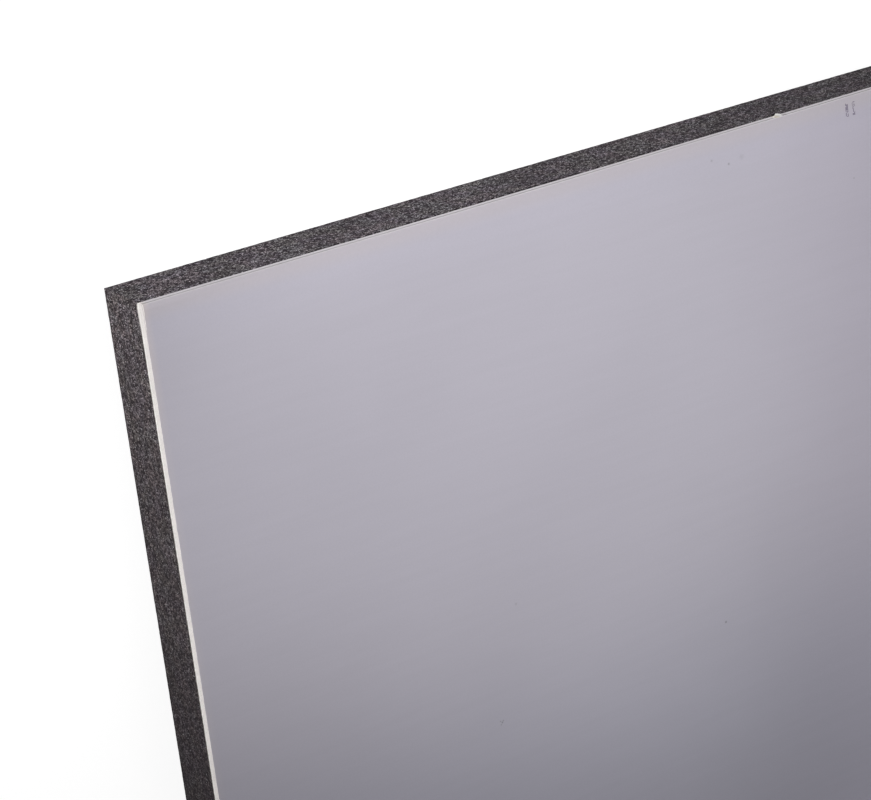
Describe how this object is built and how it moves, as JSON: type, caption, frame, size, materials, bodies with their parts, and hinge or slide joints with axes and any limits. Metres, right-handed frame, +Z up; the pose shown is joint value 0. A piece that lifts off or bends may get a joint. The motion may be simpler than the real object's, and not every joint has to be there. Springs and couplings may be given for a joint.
{
  "type": "insulated plasterboard sheet",
  "caption": "Flat paper-faced gypsum board with tapered long edges, bonded to a thick slab of grey bead foam, for lining and insulating a wall.",
  "frame": {"origin": "middle of the underside of the foam, on the floor that the sheet lies on", "axes": "+X along the sheet's length, +Y across its width towards the long edge with the torn spot, +Z up out of the paper face"},
  "size_m": [2.5, 1.2, 0.0925],
  "materials": {
    "graphite_foam": "matte",
    "gypsum": "matte",
    "face_lining": "matte",
    "back_lining": "matte"
  },
  "bodies": {
    "root": {"foam_slab": "graphite_foam", "gypsum_core": "gypsum", "face_paper": "face_lining", "back_paper": "back_lining"}
  },
  "joints": []
}
